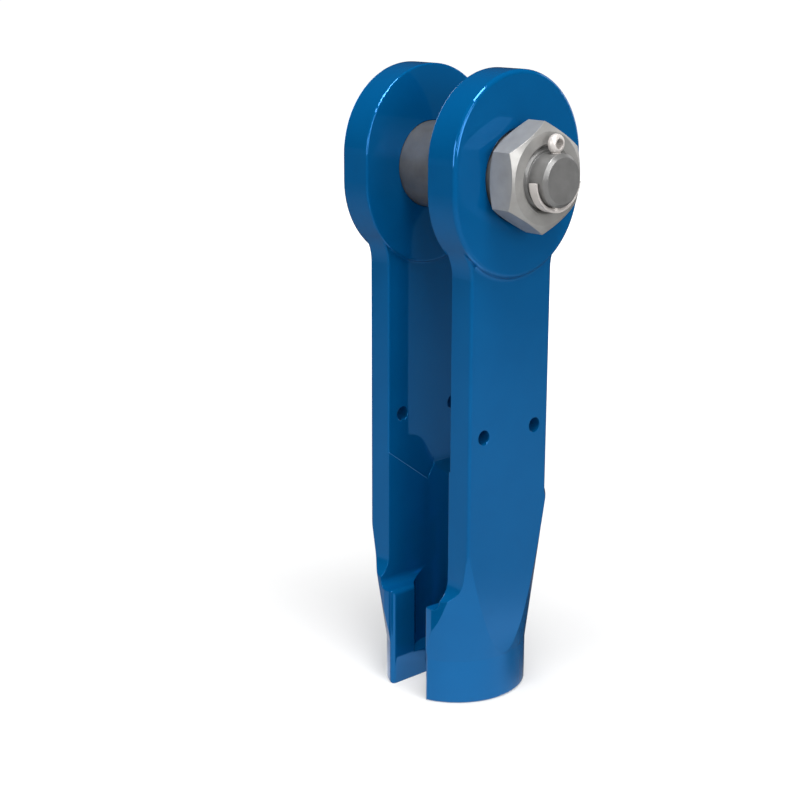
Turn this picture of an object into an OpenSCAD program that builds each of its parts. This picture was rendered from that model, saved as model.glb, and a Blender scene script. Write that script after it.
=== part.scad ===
// Slotted clevis socket for a wire rope with a pressed ferrule.
// Frame: Z runs up along the rope from the base face, X runs from the open
// front (negative) to the closed back (positive), Y is the clevis pin's axis,
// with the nut on the negative side. The origin is the centre of the base.

/* [Base and basket] */
// Diameter of the round base
base_d = 87.2; // [80:0.2:92]
// Height of the straight cylinder at the base
base_h = 28; // [20:0.5:36]
// Half angle of the basket cone, in degrees
cone_angle = 7.5; // [6.5:0.1:8.5]
// Lean of the basket cone towards the open front, in degrees
cone_lean = 1.2; // [0:0.1:2]
// Height at which the basket's back begins to round over
shoulder_z = 119.5; // [116:0.5:124]
// Radius of that rounded shoulder
shoulder_r = 12.5; // [8:0.5:14]
// Rounding of the base's outer lower edge
base_edge = 1.5; // [0.5:0.1:3]

/* [Ferrule pocket] */
// Bore that holds the ferrule
pocket_d = 53.2; // [48:0.2:53.4]
// Height of the seat under the ferrule
seat_z = 17; // [12:0.5:22]
// Height of the lips that close the front
lip_z = 61.8; // [54:0.2:70]
// Width of the slot that the rope passes through
slot_w = 28.6; // [22:0.2:34]
// Rounding of the slot's edges at the front of the lips
slot_edge = 2.6; // [1:0.1:4]
// Rounding of the slot's edges on top of the lips
lip_edge = 3; // [1:0.1:4]
// Rounding between the pocket wall and the top of the lips
ledge_fillet = 5; // [2:0.5:7]
// Slope of the relief above the pocket, in degrees
relief_slope = 36; // [20:1:45]
// Height of the lowest point of that relief
relief_z = 124; // [118:1:128]
// Length of the relief behind the rope's axis
relief_back = 5.2; // [2:0.2:10]
// Slope of the relief's back end, in degrees
relief_end = 60; // [45:1:75]

/* [Arms] */
// Gap between the two arms
arm_gap = 54; // [53.6:0.1:58]
// Width over both arms
arm_over = 87.5; // [84:0.5:92]
// Width of the arms, from front to back
arm_w = 65.5; // [60:0.5:70]
// Height of the lowest point of the saddle between the arms
saddle_z = 112.3; // [106:0.5:118]
// Length over which the saddle rounds off at the back
saddle_round = 12; // [8:0.5:14]
// Rounding of the arms' long outer edges
arm_edge = 1.8; // [0.5:0.1:2.5]
// Rounding of the arms' long inner edges
arm_inner_edge = 1; // [0.5:0.1:2]
// Distance from the rope's axis to the flat front of the lips
lip_front = 41.4; // [40:0.1:43]
// Half width of that flat front
lip_flat_y = 21.5; // [19:0.5:24]
// Angle of the facets beside it, in degrees
facet_angle = 17.6; // [12:0.2:24]
// Radius of the scoop between the arms' front and the lips
scoop_r = 15; // [10:0.5:20]
// Height of the scoop's lowest point above the top of the lips
scoop_rise = 3.7; // [1:0.1:6]

/* [Ears] */
// Height of the clevis pin's axis above the base
pin_z = 322; // [300:1:350]
// Width of the ears
ear_w = 101.5; // [92:0.5:110]
// Straight part of the ears' sides
ear_straight = 16.5; // [8:0.5:24]
// Gap between the two ears
jaw_gap = 51; // [46:0.5:53]
// Width over both ears
jaw_over = 95.5; // [92.5:0.5:100]
// Rounding of the ears' outer edges
ear_edge = 2.5; // [1:0.1:4]
// Rounding of the ears' inner edges
ear_inner_edge = 1; // [0.4:0.1:1.4]
// Rounding in the necks between ears and arms
neck_r = 25; // [12:1:30]
// Rounding between an ear's raised face and the arm
boss_fillet = 2.5; // [1:0.1:3.5]
// Rounding between an ear's inner face and the arm
jaw_fillet = 1.2; // [0.5:0.1:1.4]
// Chamfer at the mouths of the pin bores
bore_chamfer = 1.5; // [0.5:0.1:3]

/* [Retaining holes] */
// Diameter of the two holes through both arms
retain_d = 9; // [6:0.5:12]
// Height of the two holes above the base
retain_z = 170.5; // [155:0.5:200]
// Distance between the two holes
retain_pitch = 42.5; // [30:0.5:46]

/* [Clevis pin] */
// Diameter of the clevis pin
pin_d = 51; // [46:0.5:54]
// Clearance between pin and ear bore, on the radius
pin_clear = 0.3; // [0.2:0.05:0.6]
// Side clearance between the pin's head and the ear
head_clear = 0.3; // [0.2:0.1:1]
// Diameter of the pin's head
head_d = 67; // [62:1:70]
// Thickness of the pin's head
head_t = 12; // [8:0.5:16]
// Chamfer of the pin's head
head_chamfer = 1.5; // [0.5:0.1:3]
// Length of full diameter that stands out under the nut
shoulder_out = 2.6; // [1:0.1:5]
// Diameter of the threaded part
thread_d = 36; // [30:0.5:39]
// Chamfer of the thread's end
thread_chamfer = 2; // [0.5:0.1:2.5]
// Distance from the nut's outer face back to the end of the thread
thread_inset = 0.6; // [0:0.1:2]
// Diameter of the plain end that carries the split pin
dog_d = 30; // [24:0.5:31]
// Length of the plain end beyond the nut
dog_l = 12.2; // [10:0.2:16]
// Chamfer of the plain end
dog_chamfer = 2; // [0.5:0.1:2.5]

/* [Nut] */
// Width across the nut's flats
nut_af = 55; // [50:0.5:60]
// Height of the nut
nut_h = 19; // [14:0.5:24]
// Diameter of the nut's end faces, as a share of the width across flats
nut_face = 0.95; // [0.9:0.01:0.98]
// Angle of the nut's corner chamfers, in degrees
nut_chamfer = 30; // [20:1:40]
// Clearance between thread and nut, on the radius
thread_clear = 0.05; // [0.02:0.01:0.2]
// Countersink at the outer mouth of the nut's bore
nut_sink = 1.5; // [0.5:0.1:2.5]

/* [Split pin] */
// Diameter of the split pin's closed shank
split_d = 5.4; // [3.5:0.1:6]
// Clearance between split pin and its hole, on the radius
split_clear = 0.4; // [0.1:0.05:0.5]
// Distance from the nut to the middle of the split pin
split_out = 5.6; // [4:0.1:7]
// Inside radius of the split pin's eye
eye_r = 2.9; // [2:0.1:3.4]
// Distance that the eye dips into the mouth of its hole
eye_dip = 0.6; // [0.2:0.1:1]
// Angle that the long leg is bent round the pin's end, in degrees
leg_long = 88; // [60:1:100]
// Angle that the short leg is bent round the pin's end, in degrees
leg_short = 84; // [50:1:90]

/* [Hidden] */
$fn = 96;

// Overshoot of every cutting shape past the surface it opens.
over = 1;
body_r = base_d / 2;
pocket_r = pocket_d / 2;
gap_r = arm_gap / 2;
arm_x = arm_w / 2;
arm_y = arm_over / 2;
jaw_y = jaw_gap / 2;
ear_y = jaw_over / 2;
ear_r = ear_w / 2;
ear_low_z = pin_z - ear_straight / 2;
saddle_axis_z = saddle_z + gap_r;
// Centres of the arcs in the necks: their height, and their drop below the
// centre of the ear's lower half.
neck_drop = sqrt(pow(ear_r + neck_r, 2) - pow(arm_x + neck_r, 2));
neck_z = ear_low_z - neck_drop;
neck_turn = asin(neck_drop / (ear_r + neck_r));
bore_r = pin_d / 2 + pin_clear;
slot_y = slot_w / 2;
body_blue = [0.05, 0.36, 0.6];
zinc_grey = [0.6, 0.61, 0.63];
dark_grey = [0.45, 0.46, 0.49];
pale_grey = [0.68, 0.67, 0.66];

// Heights of the scoop below the arms' flat front.
scoop_z = lip_z + scoop_rise;
scoop_top_z = scoop_z + scoop_r;

// Top of the basket, measured along its leaning axis from the base cylinder.
cone_h = shoulder_z - base_h;
cone_r = body_r + cone_h * tan(cone_angle);
shoulder_in_r = cone_r - shoulder_r * cos(cone_angle);
shoulder_mid_h = cone_h + shoulder_r * sin(cone_angle);
cone_top_h = shoulder_mid_h + shoulder_r;
// Depth to which the base and the cone go into each other.
cone_root = 4 * over;
cone_low_r = body_r - cone_root * tan(cone_angle);
// Depth to which the arms' front halves go down into the leaning cone.
arm_root = arm_x * sin(cone_lean) + over;
// Half size of a block that is larger than the body across.
wide = base_d;

// Places along the pin's axis, from the ear's outer face outwards.
nut_in_y = ear_y + shoulder_out;
nut_out_y = nut_in_y + nut_h;
dog_end_y = nut_out_y + dog_l;
split_y = nut_out_y + split_out;

// Turns a shape that is built upwards so that its height runs along +Y.
module along_y() {
    rotate([-90, 0, 0])
        children();
}

// Extrudes a profile that is drawn in X and Z along Y, from y0 to y1.
module profile_xz(y0, y1) {
    translate([0, y1, 0])
        rotate([90, 0, 0])
            linear_extrude(height = y1 - y0)
                children();
}

// Extrudes a profile that is drawn in Y and Z along X, from x0 to x1.
module profile_yz(x0, x1) {
    translate([x0, 0, 0])
        rotate([90, 0, 90])
            linear_extrude(height = x1 - x0)
                children();
}

// Draws a shape and its mirror image on the other side of the Y = 0 plane.
module both_arms() {
    children();
    mirror([0, 1, 0])
        children();
}

// Leans what stands on the base cylinder towards the open front.
module leaning() {
    translate([0, 0, base_h])
        rotate([0, -cone_lean, 0])
            children();
}

// Base, which goes on up into the cone.
module base_cylinder() {
    rotate_extrude($fn = 180) {
        square([body_r - base_edge, base_h + cone_root]);
        translate([0, base_edge])
            square([body_r, base_h + cone_root - base_edge]);
        translate([body_r - base_edge, base_edge])
            circle(base_edge);
    }
}

// Half section of the basket's top, above the cone: a round shoulder.
module shoulder_half_section() {
    intersection() {
        union() {
            polygon([
                [0, 0],
                [body_r, 0],
                [cone_r, cone_h],
                [shoulder_in_r, shoulder_mid_h],
                [shoulder_in_r, cone_top_h],
                [0, cone_top_h]
            ]);
            translate([shoulder_in_r, shoulder_mid_h])
                circle(shoulder_r);
        }
        translate([0, cone_h])
            square([wide, wide]);
    }
}

// Base cylinder with the leaning cone on it, flattened beside the arms, and
// behind the rope's axis the round shoulder that closes the cone.
module basket() {
    intersection() {
        union() {
            base_cylinder();
            leaning()
                translate([0, 0, -cone_root])
                    cylinder(h = cone_h + cone_root, r1 = cone_low_r, r2 = cone_r, $fn = 180);
        }
        profile_xz(-arm_y, arm_y)
            basket_side_view();
        linear_extrude(height = pin_z)
            lips_top_view();
    }
    intersection() {
        leaning()
            rotate([0, 0, -90])
                rotate_extrude(angle = 180, $fn = 180)
                    shoulder_half_section();
        translate([-wide, -arm_y, 0])
            cube([2 * wide, arm_over, pin_z]);
    }
}

// Side view of the basket: above the lips its front is cut back to the arms,
// with the round scoop in the corner.
module basket_side_view() {
    difference() {
        translate([-wide, 0])
            square([2 * wide, pin_z]);
        translate([-wide, scoop_z])
            square([wide - arm_x, pin_z]);
    }
    difference() {
        translate([-arm_x - scoop_r, scoop_z - over])
            square([scoop_r + over, scoop_r + over]);
        translate([-arm_x - scoop_r, scoop_top_z])
            circle(scoop_r, $fn = 120);
    }
}

// Top view of the lips: a flat front beside the slot and a facet on each side.
module lips_top_view() {
    edge_x = -lip_front + (wide - lip_flat_y) * tan(facet_angle);
    polygon([
        [-lip_front, -lip_flat_y],
        [-lip_front, lip_flat_y],
        [edge_x, wide],
        [wide, wide],
        [wide, -wide],
        [edge_x, -wide]
    ]);
}

// Outline of an arm with its ear, seen along the pin.
module arm_side_view() {
    translate([-arm_x, shoulder_z])
        square([arm_w, ear_low_z - shoulder_z]);
    translate([0, ear_low_z])
        circle(ear_r, $fn = 180);
    neck_fillet(-1);
    neck_fillet(1);
}

// Fills the corner between the ear's circle and an arm's edge with an arc.
module neck_fillet(side) {
    // Share of the way between the two centres: just inside the ear's circle.
    touch = (ear_r - over) / (ear_r + neck_r);
    difference() {
        polygon([
            [side * (arm_x - over), neck_z],
            [side * (arm_x + neck_r), neck_z],
            [side * (arm_x + neck_r) * touch, ear_low_z - neck_drop * touch],
            [side * (arm_x - over), ear_low_z - neck_drop * touch]
        ]);
        translate([side * (arm_x + neck_r), neck_z])
            circle(neck_r);
    }
}

// Cross section of one arm, with its outer edge at the back rounded.
module arm_section() {
    r = arm_edge;
    translate([-arm_x, pocket_r])
        square([arm_w, arm_y - r - pocket_r]);
    translate([-arm_x, pocket_r])
        square([arm_w - r, arm_y - pocket_r]);
    translate([arm_x - r, arm_y - r])
        circle(r, $fn = 32);
}

module arm() {
    intersection() {
        profile_xz(pocket_r, arm_y)
            arm_side_view();
        union() {
            translate([0, 0, shoulder_z])
                linear_extrude(height = neck_z - shoulder_z)
                    arm_section();
            translate([-ear_w, 0, neck_z])
                cube([2 * ear_w, ear_w, ear_w]);
        }
    }
    translate([-arm_x, pocket_r, shoulder_z - arm_root])
        cube([arm_x, arm_y - pocket_r, arm_root + over]);
}

// Half section of an ear: radius across, thickness along the pin.
module ear_half_section() {
    ro = ear_edge;
    ri = ear_inner_edge;
    t = ear_y - jaw_y;
    translate([0, jaw_y]) {
        translate([0, ri])
            square([ear_r, t - ro - ri]);
        square([ear_r - ri, t - ro]);
        square([ear_r - ro, t]);
        translate([ear_r - ro, t - ro])
            circle(ro, $fn = 48);
        translate([ear_r - ri, ri])
            circle(ri, $fn = 32);
    }
}

module ear() {
    for (z = [-1, 1] * ear_straight / 2)
        translate([0, 0, pin_z + z])
            along_y()
                rotate_extrude($fn = 180)
                    ear_half_section();
    translate([0, 0, ear_low_z])
        linear_extrude(height = ear_straight) {
            ear_half_section();
            mirror([1, 0])
                ear_half_section();
        }
    ear_fillet(arm_y, boss_fillet, 1);
    ear_fillet(gap_r, jaw_fillet, -1);
}

// Rounding where an ear's raised face meets the arm: face is the place of the
// arm's surface, and side is the direction in which the ear stands out of it.
module ear_fillet(face, f, side) {
    bottom_y = side > 0 ? face - over : face - f;
    intersection() {
        translate([0, 0, ear_low_z])
            along_y()
                rotate_extrude($fn = 180)
                    difference() {
                        translate([ear_r - ear_edge, bottom_y])
                            square([ear_edge + f, f + over]);
                        translate([ear_r + f, face + side * f])
                            circle(f, $fn = 48);
                    }
        translate([-arm_x + arm_edge, 0, 0])
            cube([arm_w - 2 * arm_edge, ear_w, ear_low_z - ear_r / 2]);
    }
}

// Front view of the opening for the ferrule and of the slot for the rope.
module front_opening() {
    f = ledge_fillet;
    e = lip_edge;
    translate([-pocket_r, lip_z + f])
        square([pocket_d, saddle_axis_z - lip_z - f]);
    translate([-pocket_r + f, lip_z])
        square([pocket_d - 2 * f, f + over]);
    for (y = [-1, 1] * (pocket_r - f))
        translate([y, lip_z + f])
            circle(f, $fn = 48);
    // Edges where the top of the lips rounds into the slot.
    difference() {
        translate([-slot_y - e, lip_z - e])
            square([slot_w + 2 * e, e + over]);
        for (y = [-1, 1] * (slot_y + e))
            translate([y, lip_z - e])
                circle(e, $fn = 48);
    }
}

// Top view of the rope slot, which rounds outwards at the front of the lips.
module slot_top_view() {
    r = slot_edge;
    reach = sqrt(pow(body_r - r, 2) - pow(slot_y + r, 2));
    circle(slot_y);
    translate([-wide, -slot_y])
        square([wide, slot_w]);
    difference() {
        translate([-wide, -slot_y - r])
            square([wide - reach, slot_w + 2 * r]);
        for (y = [-1, 1] * (slot_y + r))
            translate([-reach, y])
                circle(r, $fn = 32);
    }
}

// Everything that is cut out for the ferrule and the rope.
module pocket() {
    translate([0, 0, seat_z])
        cylinder(h = saddle_axis_z - seat_z, d = pocket_d, $fn = 180);
    profile_yz(-wide, 0)
        front_opening();
    translate([0, 0, -over])
        linear_extrude(height = lip_z + over)
            slot_top_view();
}

// Gap between the arms, above the pocket. Its floor is the round saddle in the
// basket's back, which opens like a bell outwards. In front of the saddle a
// shallow relief slopes down along the arms and leads the ferrule in.
module arm_clearance() {
    profile_yz(0, wide) {
        translate([-gap_r, saddle_axis_z])
            square([arm_gap, pin_z - saddle_axis_z]);
        translate([0, saddle_axis_z])
            circle(gap_r, $fn = 180);
    }
    bell_x = cone_r - cone_h * sin(cone_lean) - saddle_round - over;
    translate([bell_x, 0, saddle_axis_z])
        rotate([0, 90, 0])
            rotate_extrude($fn = 180)
                difference() {
                    square([gap_r + saddle_round, saddle_round + 2 * over]);
                    translate([gap_r + saddle_round, 0])
                        circle(saddle_round);
                }
    profile_xz(-gap_r, gap_r)
        polygon([
            [-wide, relief_z + wide * tan(relief_slope)],
            [0, relief_z],
            [relief_back, relief_z + relief_back * tan(relief_end)],
            [relief_back, pin_z],
            [-wide, pin_z]
        ]);
}

// Rounding of the arms' long inner edges above the relief, and of their long
// outer edges at the front, which runs out into the cone above the scoop.
module long_edge_cuts() {
    inner_z = relief_z + arm_x * tan(relief_slope);
    both_arms() {
        for (side = [0, 1])
            mirror([side, 0, 0])
                translate([arm_x, gap_r, inner_z])
                    corner_cut(arm_inner_edge, neck_z - inner_z);
        translate([-arm_x, arm_y, scoop_top_z])
            rotate([0, 0, 180])
                corner_cut(arm_edge, neck_z - scoop_top_z);
        neck_edge_cuts();
    }
}

// Carries the same roundings on along the arcs in the necks.
module neck_edge_cuts() {
    for (side = [0, 1])
        mirror([side, 0, 0])
            translate([arm_x + neck_r, 0, neck_z])
                along_y()
                    rotate([0, 0, 180])
                        rotate_extrude(angle = neck_turn, $fn = 180) {
                            translate([neck_r, arm_y])
                                rotate(180)
                                    corner_section(arm_edge);
                            translate([neck_r, gap_r])
                                mirror([1, 0])
                                    corner_section(arm_inner_edge);
                        }
}

// Section of what is cut from an edge at the origin of a body at -X, +Y.
module corner_section(r) {
    difference() {
        translate([-r, -over])
            square([r + over, r + over]);
        translate([-r, r])
            circle(r, $fn = 32);
    }
}

module corner_cut(r, h) {
    linear_extrude(height = h)
        corner_section(r);
}

// Bore through both ears, chamfered where it opens on their outer faces.
module pin_bore() {
    c = bore_chamfer;
    translate([0, -ear_y - over, pin_z])
        along_y()
            cylinder(h = jaw_over + 2 * over, r = bore_r, $fn = 180);
    both_arms()
        translate([0, ear_y - c, pin_z])
            along_y()
                cylinder(h = c + over, r1 = bore_r, r2 = bore_r + c + over, $fn = 180);
}

module retaining_holes() {
    for (x = [-1, 1] * retain_pitch / 2)
        translate([x, -arm_y - over, retain_z])
            along_y()
                cylinder(h = arm_over + 2 * over, d = retain_d, $fn = 48);
}

module socket_body() {
    color(body_blue)
        difference() {
            union() {
                difference() {
                    union() {
                        basket();
                        both_arms()
                            arm();
                    }
                    pocket();
                    arm_clearance();
                    long_edge_cuts();
                }
                both_arms()
                    ear();
            }
            pin_bore();
            retaining_holes();
        }
}

// Half section of the clevis pin, drawn as radius and place along its axis,
// from the head's outer face to the end of the plain end.
module pin_half_section() {
    head_in_y = ear_y + head_clear;
    thread_end_y = nut_out_y - thread_inset;
    polygon([
        [0, -head_in_y - head_t],
        [head_d / 2 - head_chamfer, -head_in_y - head_t],
        [head_d / 2, -head_in_y - head_t + head_chamfer],
        [head_d / 2, -head_in_y],
        [pin_d / 2, -head_in_y],
        [pin_d / 2, nut_in_y],
        [thread_d / 2, nut_in_y],
        [thread_d / 2, thread_end_y - thread_chamfer],
        [thread_d / 2 - thread_chamfer, thread_end_y],
        [dog_d / 2, thread_end_y],
        [dog_d / 2, dog_end_y - dog_chamfer],
        [dog_d / 2 - dog_chamfer, dog_end_y],
        [0, dog_end_y]
    ]);
}

module clevis_pin() {
    color(dark_grey)
        translate([0, 0, pin_z])
            difference() {
                rotate([90, 0, 0])
                    rotate_extrude($fn = 180)
                        pin_half_section();
                translate([0, -split_y, -dog_d])
                    cylinder(h = 2 * dog_d, r = split_d / 2 + split_clear, $fn = 48);
            }
}

module hex_nut() {
    corner_r = nut_af / 2 / cos(30);
    face_r = nut_af / 2 * nut_face;
    cut = (corner_r - face_r) * tan(nut_chamfer);
    sink_h = nut_sink + over;
    color(zinc_grey)
        translate([0, -nut_in_y, pin_z])
            rotate([90, 0, 0])
                difference() {
                    intersection() {
                        rotate([0, 0, 30])
                            cylinder(h = nut_h, r = corner_r, $fn = 6);
                        rotate_extrude($fn = 180)
                            polygon([
                                [0, 0],
                                [face_r, 0],
                                [corner_r + over, cut + over * tan(nut_chamfer)],
                                [corner_r + over, nut_h - cut - over * tan(nut_chamfer)],
                                [face_r, nut_h],
                                [0, nut_h]
                            ]);
                    }
                    translate([0, 0, -over])
                        cylinder(h = nut_h + 2 * over, r = thread_d / 2 + thread_clear, $fn = 180);
                    translate([0, 0, nut_h - nut_sink])
                        cylinder(h = sink_h, r1 = thread_d / 2, r2 = thread_d / 2 + sink_h, $fn = 180);
                }
}

// Section of one half round wire of the split pin, with its flat side at
// radius r: side 1 has the round side outwards, side -1 inwards.
module half_round(r, side) {
    intersection() {
        translate([r, 0])
            circle(split_d / 2, $fn = 48);
        translate([side > 0 ? r : r - split_d, -split_d])
            square([split_d, 2 * split_d]);
    }
}

module split_pin() {
    leg_r = dog_d / 2 + split_clear + split_d / 2;
    eye_z = dog_d / 2 + split_d / 2 + eye_r - eye_dip;
    color(pale_grey)
        translate([0, -split_y, pin_z]) {
            // Shank through the pin's end.
            translate([0, 0, over - leg_r])
                cylinder(h = leg_r - over + dog_d / 2, d = split_d, $fn = 48);
            // Eye above it.
            translate([0, 0, eye_z])
                along_y()
                    rotate_extrude($fn = 72)
                        half_round(eye_r, 1);
            // Legs bent round the pin's end, one to each side.
            rotate([90, 0, 0])
                rotate([0, 0, -90 - leg_long])
                    rotate_extrude(angle = leg_long + leg_short, $fn = 120)
                        half_round(leg_r, -1);
        }
}

socket_body();
clevis_pin();
hex_nut();
split_pin();
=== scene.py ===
from math import cos, pi, radians, sin

import bpy
from mathutils import Matrix, Vector

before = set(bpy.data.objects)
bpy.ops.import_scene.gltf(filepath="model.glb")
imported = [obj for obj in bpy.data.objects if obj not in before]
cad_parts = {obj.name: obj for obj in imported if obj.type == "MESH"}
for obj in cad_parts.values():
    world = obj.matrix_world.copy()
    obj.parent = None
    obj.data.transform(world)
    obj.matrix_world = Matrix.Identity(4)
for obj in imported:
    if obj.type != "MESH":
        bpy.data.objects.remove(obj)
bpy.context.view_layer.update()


def grey(level):
    return (level, level, level)


# Lengths are in metres, angles in degrees and the power of lamps in watts.
# The base stands with its centre here, and Z runs up.
BASE_CENTRE = (0, 0, 0)
UP = (0, 0, 1)

# Camera: place and angles of the photograph's view, and how far it sees.
CAMERA_AT = (-0.6620, -0.6832, 0.4389)
CAMERA_AZIMUTH = -41.96
CAMERA_ELEVATION = 15.197
CAMERA_ROLL = 0.119
CAMERA_REACH = 50
LENS_MM = 72.79
SENSOR_MM = 36.0

# Paint: its tones and roughness vary with a noise. Each stop is a level of the
# noise and what the paint has there.
PAINT_TONES = [(0.3, (0.0004, 0.099, 0.288)), (0.7, (0.0006, 0.105, 0.301))]
PAINT_ROUGHNESS = [(0.3, grey(0.03)), (0.75, grey(0.06))]
PAINT_EDGE_RADIUS = 0.0007

# Steel: the levels of the noise at its dark and light tone and at its smoothest
# and roughest, and how far these two lie from the middle roughness.
STEEL_TONE_LEVELS = (0.3, 0.7)
STEEL_ROUGHNESS_LEVELS = (0.25, 0.75)
STEEL_SMOOTHER, STEEL_ROUGHER = 0.04, 0.05
STEEL_EDGE_RADIUS = 0.0004
PIN_TONES = [(0.2, 0.199, 0.197), (0.25, 0.249, 0.246)]
NUT_TONES = [(0.32, 0.315, 0.305), (0.38, 0.375, 0.365)]
WIRE_TONES = [(0.57, 0.535, 0.51), (0.65, 0.615, 0.59)]

# Painted shade on the pin: its shank between the ears is darker than its turned end, standing in
# for the shade there and the dark ears it reflects. The change runs between these places along
# Y: the shoulder under the nut, and a place inside the near ear. Out of the tone's lightness,
# the shank keeps the share that is named last.
END_STOPS_Y, SHANK_STARTS_Y = -0.05, -0.04
SHANK_SHARE = 0.7

# Rays that each Bevel node sends out to round the look of an edge.
BEVEL_SAMPLES = 16

# Strength of the world's light on the object, in reflections and in the picture.
SKY = 0.4
SKY_MIRRORED = 0.03
SKY_SEEN = 1.0

# Floor: its size and colour, and the glow that lifts it to white where the
# camera sees it, which grows from near the object to far from it.
FLOOR_SIZE = 40
FLOOR_COLOUR = grey(0.5)
LIFT_NEAR, LIFT_FAR = 0.3, 0.84
LIFT_START, LIFT_END = 0.3, 1.3

# Painted light on the floor, seen only in reflections: a painted pool of light around the object,
# by the distance from it, times a share by the direction from the +X axis.
PAINTED_POOL = [
    (0.06, 1.3), (0.15, 1.1), (0.2, 0.72), (0.25, 0.57), (0.55, 0.55), (0.66, 0.5),
    (0.77, 0.48), (0.88, 0.42), (1.2, 0.29), (2.0, 0.15),
]
PAINTED_POOL_REACH = PAINTED_POOL[-1][0]
PAINTED_LIGHT_AROUND = [
    (-180, 0.9), (-135, 1.05), (-48, 1.0), (-38, 0.85), (-28, 0.4), (-18, 0.22), (-5, 0.14),
    (75, 0.1), (95, 0.4), (132, 0.85), (180, 0.9),
]
# A colour ramp holds values up to 1, so both lists go in as shares of this.
RAMP_TOP = 2.0

# Painted shade on that floor, seen in reflections: dark patches, each with its centre, the radii
# between which it fades out, and the share of light left in its middle.
PAINTED_SHADES = [
    ((-0.165, 0.005, 0.0), 0.042, 0.056, 0.0),
    ((0.09, -0.02, 0.0), 0.055, 0.1, 0.2),
]

# Lamps: name, place, the point it aims at, its width and height, its power,
# and the direction that its height runs along.
LAMPS = [
    ("top_box", (-0.3, -0.35, 1.8), (0, 0, 0.3), (0.6, 0.6), 27.0, (0, 1, 0)),
    ("edge_strip", (-0.7, -1.2, 1.45), (0, 0, 0.35), (0.1, 2.4), 13.0, (0.71, 0.14, 0.73)),
    ("side_box", (-0.1, -1.7, 0.7), (0, 0, 0.25), (0.8, 0.8), 13.0, UP),
    ("left_box", (-1.8, 0.1, 0.6), (0, 0, 0.25), (0.7, 0.7), 9.0, UP),
    ("back_fill", (0.25, 1.75, 0.7), (0, 0, 0.25), (1.2, 1.0), 14.0, UP),
    ("right_fill", (1.8, -0.15, 0.7), (0, 0, 0.25), (1.2, 1.0), 4.5, UP),
]


def rotation(right, up, back):
    """The rotation that gives a camera or a lamp these three axes."""
    return Matrix((right, up, back)).transposed().to_4x4()


def make_camera():
    angles = (CAMERA_AZIMUTH, CAMERA_ELEVATION, CAMERA_ROLL)
    azimuth, elevation, roll = (radians(angle) for angle in angles)
    right = Vector((cos(azimuth), sin(azimuth), 0))
    level_back = Vector((sin(azimuth), -cos(azimuth), 0))
    back = level_back * cos(elevation) + Vector(UP) * sin(elevation)
    up = back.cross(right)
    rolled_right = right * cos(roll) + up * sin(roll)
    rolled_up = up * cos(roll) - right * sin(roll)
    data = bpy.data.cameras.new("camera")
    data.lens = LENS_MM
    data.sensor_width = SENSOR_MM
    data.sensor_fit = "HORIZONTAL"
    data.clip_end = CAMERA_REACH
    camera = bpy.data.objects.new("camera", data)
    camera.matrix_world = Matrix.Translation(CAMERA_AT) @ rotation(rolled_right, rolled_up, back)
    bpy.context.collection.objects.link(camera)
    bpy.context.scene.camera = camera


class Nodes:
    """Short names for building a material's node tree."""

    def __init__(self, name, metallic=0.0, specular=0.0):
        self.material = bpy.data.materials.new(name)
        self.material.use_nodes = True
        self.tree = self.material.node_tree
        self.shader = self.tree.nodes["Principled BSDF"]
        self.shader.inputs["Metallic"].default_value = metallic
        self.shader.inputs["Specular IOR Level"].default_value = specular
        self.place = self.add("ShaderNodeTexCoord").outputs["Object"]

    def add(self, kind, **values):
        """A new node, with each value set on its input or else its property."""
        node = self.tree.nodes.new(kind)
        for key, value in values.items():
            if key in node.inputs:
                node.inputs[key].default_value = value
            else:
                setattr(node, key, value)
        return node

    def link(self, output, node, socket):
        self.tree.links.new(output, node.inputs[socket])

    def noise(self, scale, detail):
        node = self.add("ShaderNodeTexNoise", Scale=scale, Detail=detail)
        self.link(self.place, node, "Vector")
        return node.outputs["Fac"]

    def ramp(self, level, stops):
        """The colour at a level between 0 and 1, from stops of level and colour."""
        node = self.add("ShaderNodeValToRGB")
        elements = node.color_ramp.elements
        elements.remove(elements[1])
        for index, (position, colour) in enumerate(stops):
            element = elements.new(position) if index else elements[0]
            element.position = position
            element.color = (*colour, 1)
        self.link(level, node, "Fac")
        return node.outputs["Color"]

    def math(self, operation, *values):
        """A Math node whose inputs are outputs of other nodes or numbers."""
        node = self.add("ShaderNodeMath", operation=operation)
        for index, value in enumerate(values):
            if isinstance(value, (int, float)):
                node.inputs[index].default_value = value
            else:
                self.link(value, node, index)
        return node.outputs[0]

    def between(self, value, start, end, low, high=1.0):
        """A smooth step from low to high as the value goes from start to end."""
        node = self.add("ShaderNodeMapRange", interpolation_type="SMOOTHSTEP")
        limits = {"From Min": start, "From Max": end, "To Min": low, "To Max": high}
        for name, limit in limits.items():
            node.inputs[name].default_value = limit
        self.link(value, node, "Value")
        return node.outputs["Result"]

    def axes(self):
        """The place split into its outputs X, Y and Z."""
        node = self.add("ShaderNodeSeparateXYZ")
        self.link(self.place, node, "Vector")
        return node.outputs

    def distance_from(self, point):
        node = self.add("ShaderNodeVectorMath", operation="DISTANCE")
        self.link(self.place, node, 0)
        node.inputs[1].default_value = point
        return node.outputs["Value"]

    def surface(self, height, distance, strength, edge_radius):
        """Gives the shader fine bumps, and soft highlights along the edges."""
        bevel = self.add("ShaderNodeBevel", samples=BEVEL_SAMPLES, Radius=edge_radius)
        bump = self.add("ShaderNodeBump", Distance=distance, Strength=strength)
        self.link(height, bump, "Height")
        self.link(bevel.outputs["Normal"], bump, "Normal")
        self.link(bump.outputs["Normal"], self.shader, "Normal")


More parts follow.
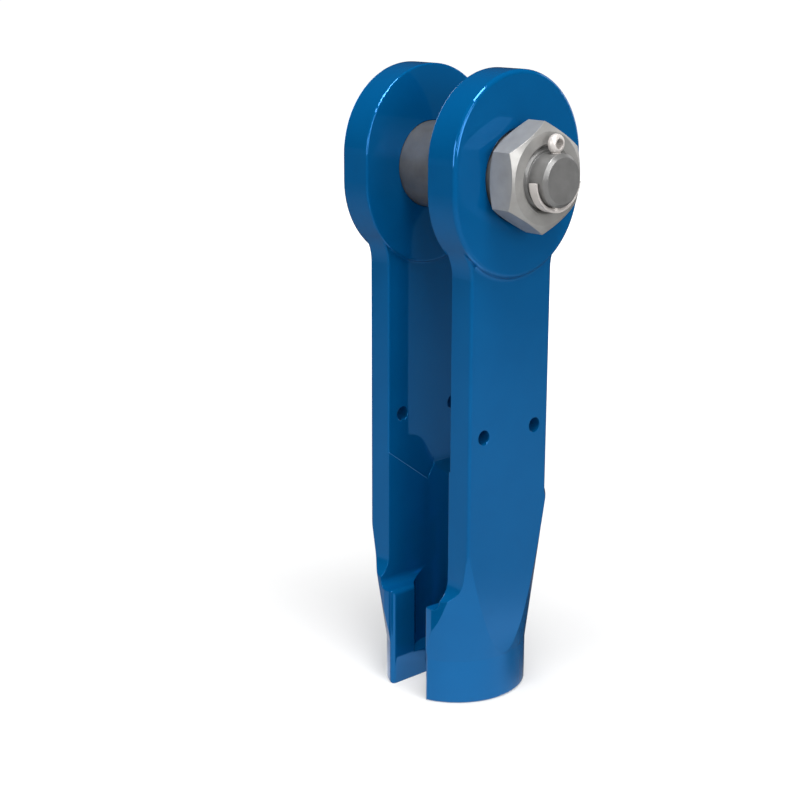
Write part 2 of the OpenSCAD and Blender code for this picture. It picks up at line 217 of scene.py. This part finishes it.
def blue_paint():
    """Glossy paint with a faint mottle and the fine peel that spraying leaves."""
    nodes = Nodes("blue_paint", metallic=0.38, specular=0.25)
    tone = nodes.ramp(nodes.noise(scale=38.0, detail=3.0), PAINT_TONES)
    nodes.link(tone, nodes.shader, "Base Color")
    roughness = nodes.ramp(nodes.noise(scale=90.0, detail=2.0), PAINT_ROUGHNESS)
    nodes.link(roughness, nodes.shader, "Roughness")
    peel = nodes.noise(scale=420.0, detail=2.0)
    nodes.surface(peel, distance=0.00002, strength=0.04, edge_radius=PAINT_EDGE_RADIUS)
    return nodes.material


def steel(name, tones, metallic, roughness, shade=None):
    """Bare steel with a fine grain. A painted shade, if given, changes its tone from place to
    place.
    """
    nodes = Nodes(name, metallic, specular=0.3)
    tone = nodes.ramp(nodes.noise(scale=120.0, detail=4.0), zip(STEEL_TONE_LEVELS, tones))
    nodes.link(shade(nodes, tone) if shade else tone, nodes.shader, "Base Color")
    limits = (grey(roughness - STEEL_SMOOTHER), grey(roughness + STEEL_ROUGHER))
    spread = nodes.ramp(nodes.noise(scale=260.0, detail=3.0), zip(STEEL_ROUGHNESS_LEVELS, limits))
    nodes.link(spread, nodes.shader, "Roughness")
    grain = nodes.noise(scale=900.0, detail=3.0)
    nodes.surface(grain, distance=0.00003, strength=0.15, edge_radius=STEEL_EDGE_RADIUS)
    return nodes.material


def painted_shade_on_shank(nodes, tone):
    """The pin's tone with painted shade: darker on the shank between the ears than on the turned
    end outside.
    """
    share = nodes.between(nodes.axes()["Y"], END_STOPS_Y, SHANK_STARTS_Y, 1.0, SHANK_SHARE)
    dimmed = nodes.add("ShaderNodeVectorMath", operation="SCALE")
    nodes.link(tone, dimmed, 0)
    nodes.link(share, dimmed, "Scale")
    return dimmed.outputs["Vector"]


def painted_floor_light(nodes):
    """Painted light of the floor where it shows in a reflection, with painted shade patches."""
    axes = nodes.axes()
    angle = nodes.math("ARCTAN2", axes["Y"], axes["X"])
    # A full turn, from -pi to pi, runs from 0 to 1 along its ramp.
    turn = nodes.math("MULTIPLY_ADD", angle, 0.5 / pi, 0.5)
    turns = [((degrees + 180) / 360, grey(share / RAMP_TOP)) for degrees, share in PAINTED_LIGHT_AROUND]
    reach = nodes.math("DIVIDE", nodes.distance_from(BASE_CENTRE), PAINTED_POOL_REACH)
    reaches = [(radius / PAINTED_POOL_REACH, grey(level / RAMP_TOP)) for radius, level in PAINTED_POOL]
    product = nodes.math("MULTIPLY", nodes.ramp(turn, turns), nodes.ramp(reach, reaches))
    lightness = nodes.math("MULTIPLY", product, RAMP_TOP ** 2)
    # Each patch of painted shade dims the floor's reflected light.
    for centre, start, end, left in PAINTED_SHADES:
        fade = nodes.between(nodes.distance_from(centre), start, end, left)
        lightness = nodes.math("MULTIPLY", lightness, fade)
    return lightness


def floor_material():
    """A matt floor that glows where the camera sees it, and in reflections a glow alone of
    painted light and painted shade.
    """
    nodes = Nodes("floor")
    nodes.shader.inputs["Roughness"].default_value = 1.0
    nodes.shader.inputs["Base Color"].default_value = (*FLOOR_COLOUR, 1)
    nodes.shader.inputs["Emission Color"].default_value = (1, 1, 1, 1)
    path = nodes.add("ShaderNodeLightPath")
    distance = nodes.distance_from(BASE_CENTRE)
    lift = nodes.between(distance, LIFT_START, LIFT_END, LIFT_NEAR, LIFT_FAR)
    seen_lift = nodes.math("MULTIPLY", path.outputs["Is Camera Ray"], lift)
    nodes.link(seen_lift, nodes.shader, "Emission Strength")
    # In reflections the floor shows only this glow of painted light and painted shade.
    glow = nodes.add("ShaderNodeEmission")
    nodes.link(painted_floor_light(nodes), glow, "Strength")
    mix = nodes.add("ShaderNodeMixShader")
    nodes.link(path.outputs["Is Glossy Ray"], mix, 0)
    nodes.link(nodes.shader.outputs[0], mix, 1)
    nodes.link(glow.outputs[0], mix, 2)
    nodes.link(mix.outputs[0], nodes.tree.nodes["Material Output"], "Surface")
    return nodes.material


def make_floor():
    bpy.ops.mesh.primitive_plane_add(size=FLOOR_SIZE, location=BASE_CENTRE)
    floor = bpy.context.object
    floor.name = "floor"
    floor.data.materials.append(floor_material())


def make_world():
    """A white world, with a strength of its own for each of three kinds of ray."""
    world = bpy.data.worlds.new("studio")
    bpy.context.scene.world = world
    world.use_nodes = True
    tree = world.node_tree
    path = tree.nodes.new("ShaderNodeLightPath")
    shader = tree.nodes["Background"]
    shader.inputs["Color"].default_value = (1, 1, 1, 1)
    shader.inputs["Strength"].default_value = SKY
    for ray, strength in (("Is Glossy Ray", SKY_MIRRORED), ("Is Camera Ray", SKY_SEEN)):
        background = tree.nodes.new("ShaderNodeBackground")
        background.inputs["Color"].default_value = (1, 1, 1, 1)
        background.inputs["Strength"].default_value = strength
        mix = tree.nodes.new("ShaderNodeMixShader")
        tree.links.new(path.outputs[ray], mix.inputs[0])
        tree.links.new(shader.outputs[0], mix.inputs[1])
        tree.links.new(background.outputs[0], mix.inputs[2])
        shader = mix
    tree.links.new(shader.outputs[0], tree.nodes["World Output"].inputs["Surface"])


def make_lamp(name, place, target, size, power, along):
    """A rectangular area lamp that faces its target."""
    data = bpy.data.lights.new(name, "AREA")
    data.shape = "RECTANGLE"
    data.size, data.size_y = size
    data.energy = power
    lamp = bpy.data.objects.new(name, data)
    back = (Vector(place) - Vector(target)).normalized()
    right = Vector(along).cross(back).normalized()
    lamp.matrix_world = Matrix.Translation(place) @ rotation(right, back.cross(right), back)
    bpy.context.collection.objects.link(lamp)


def set_material(name, material):
    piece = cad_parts[name]
    piece.data.materials.clear()
    piece.data.materials.append(material)


bpy.context.scene.view_settings.view_transform = "Standard"
make_camera()
make_floor()
make_world()
for lamp in LAMPS:
    make_lamp(*lamp)
# The pin's shank between the ears gets painted shade.
pin_steel = steel("pin_steel", PIN_TONES, metallic=0.55, roughness=0.32, shade=painted_shade_on_shank)
set_material("socket_body", blue_paint())
set_material("clevis_pin", pin_steel)
set_material("hex_nut", steel("nut_steel", NUT_TONES, metallic=0.5, roughness=0.38))
set_material("split_pin", steel("wire_steel", WIRE_TONES, metallic=0.35, roughness=0.38))
